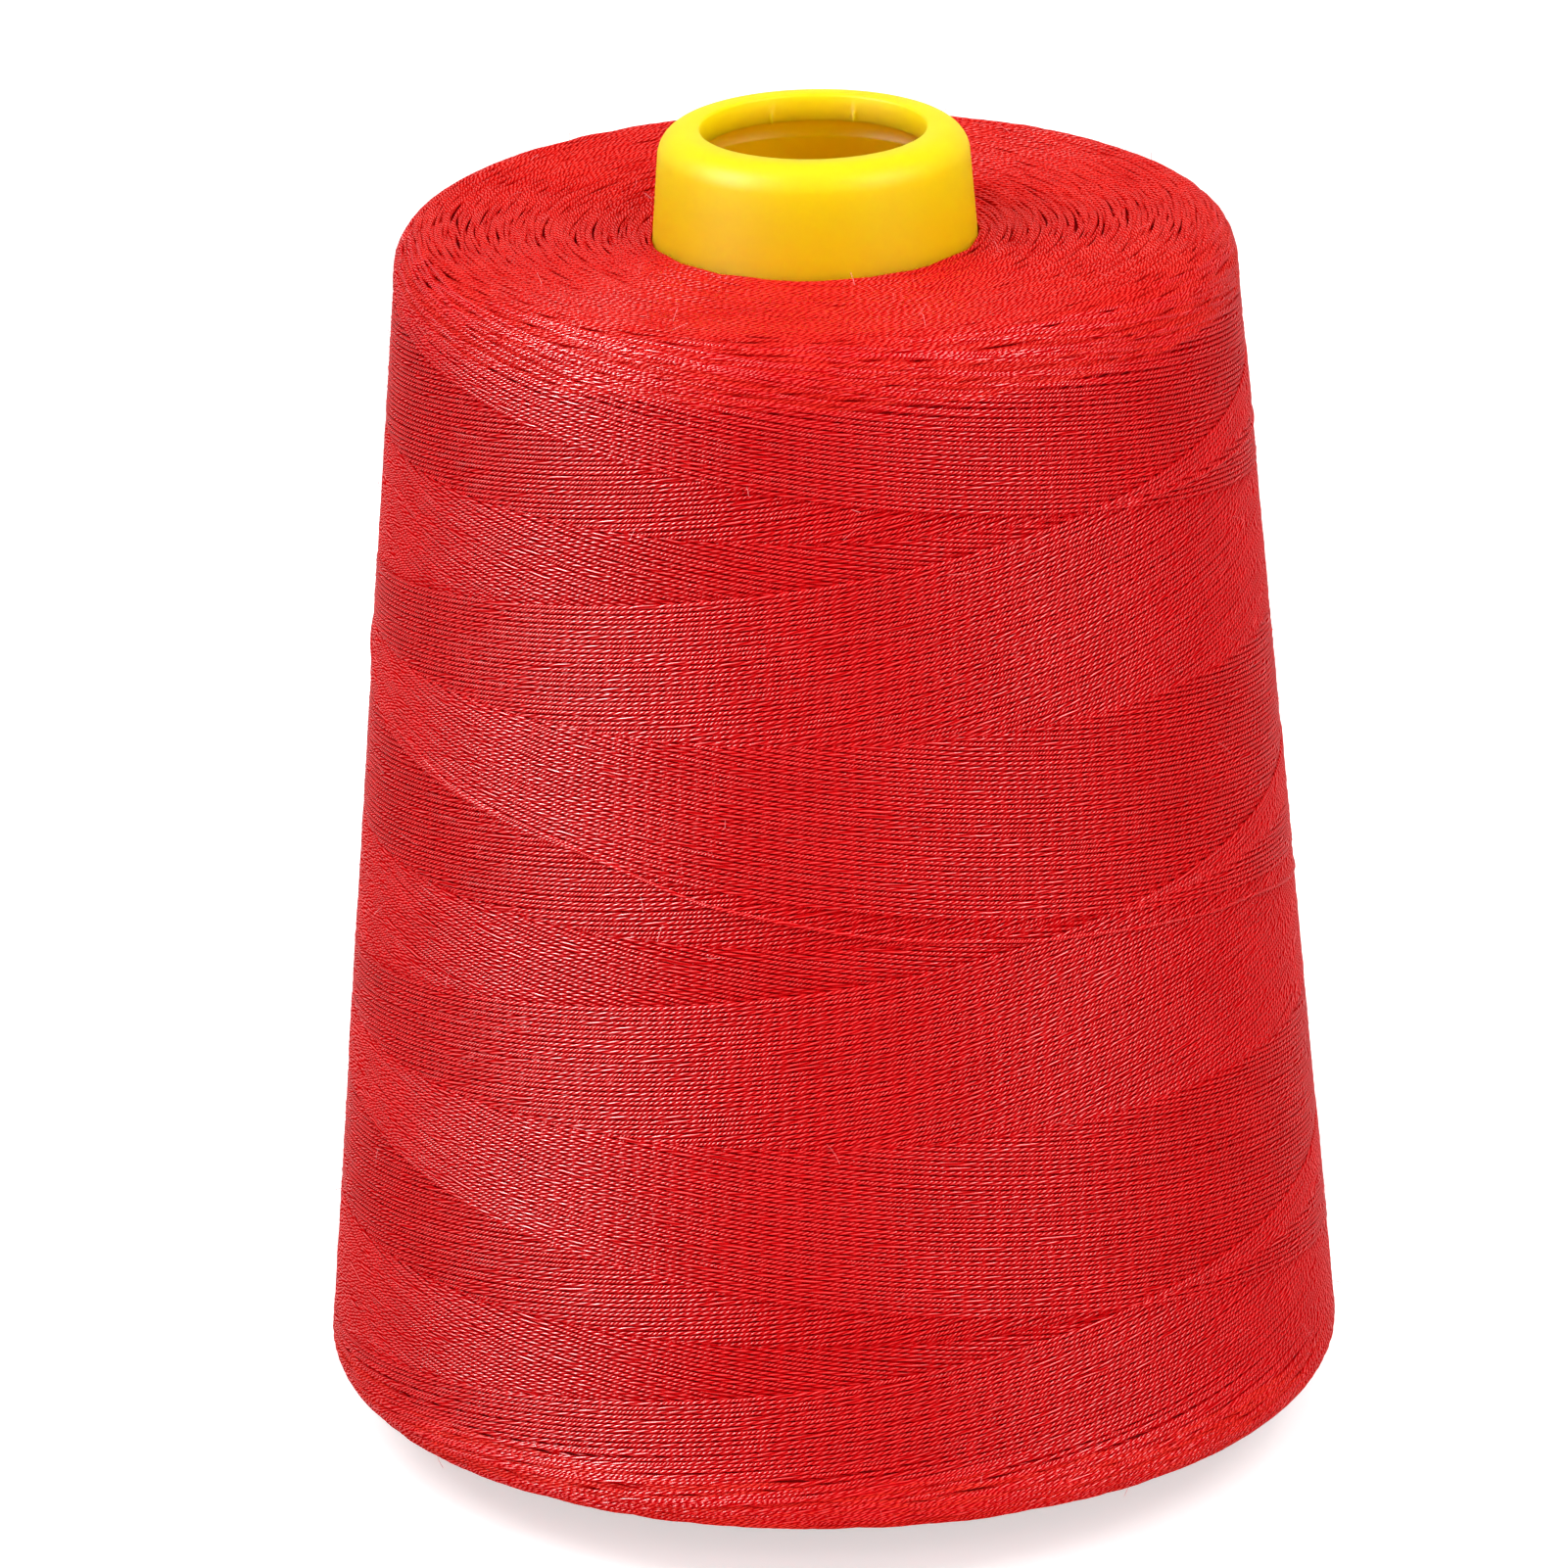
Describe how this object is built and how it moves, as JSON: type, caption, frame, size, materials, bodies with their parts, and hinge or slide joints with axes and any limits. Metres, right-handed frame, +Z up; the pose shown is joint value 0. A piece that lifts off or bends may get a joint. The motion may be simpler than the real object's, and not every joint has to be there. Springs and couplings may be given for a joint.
{
  "type": "cone of sewing thread",
  "caption": "Cross-wound package of sewing thread on a hollow tapered plastic cone, with rounded shoulders, a collared nose hole and a loose last turn",
  "frame": {"origin": "centre of the cone's base rim, in the plane that the cone stands on", "axes": "+Z up along the axis of the cone, from its wide base to its narrow nose; -Y is the side that the reference view faces"},
  "size_m": [0.1096, 0.1091, 0.145],
  "materials": {
    "moulded_plastic": "injection-moulded polypropylene, yellow, smooth with a soft gloss",
    "sewing_thread": "plied spun polyester sewing thread, red, cross-wound"
  },
  "bodies": {
    "root": {"plastic_cone": "moulded_plastic", "thread_package": "sewing_thread", "outer_winding": "sewing_thread", "thread_end": "sewing_thread"}
  },
  "joints": []
}
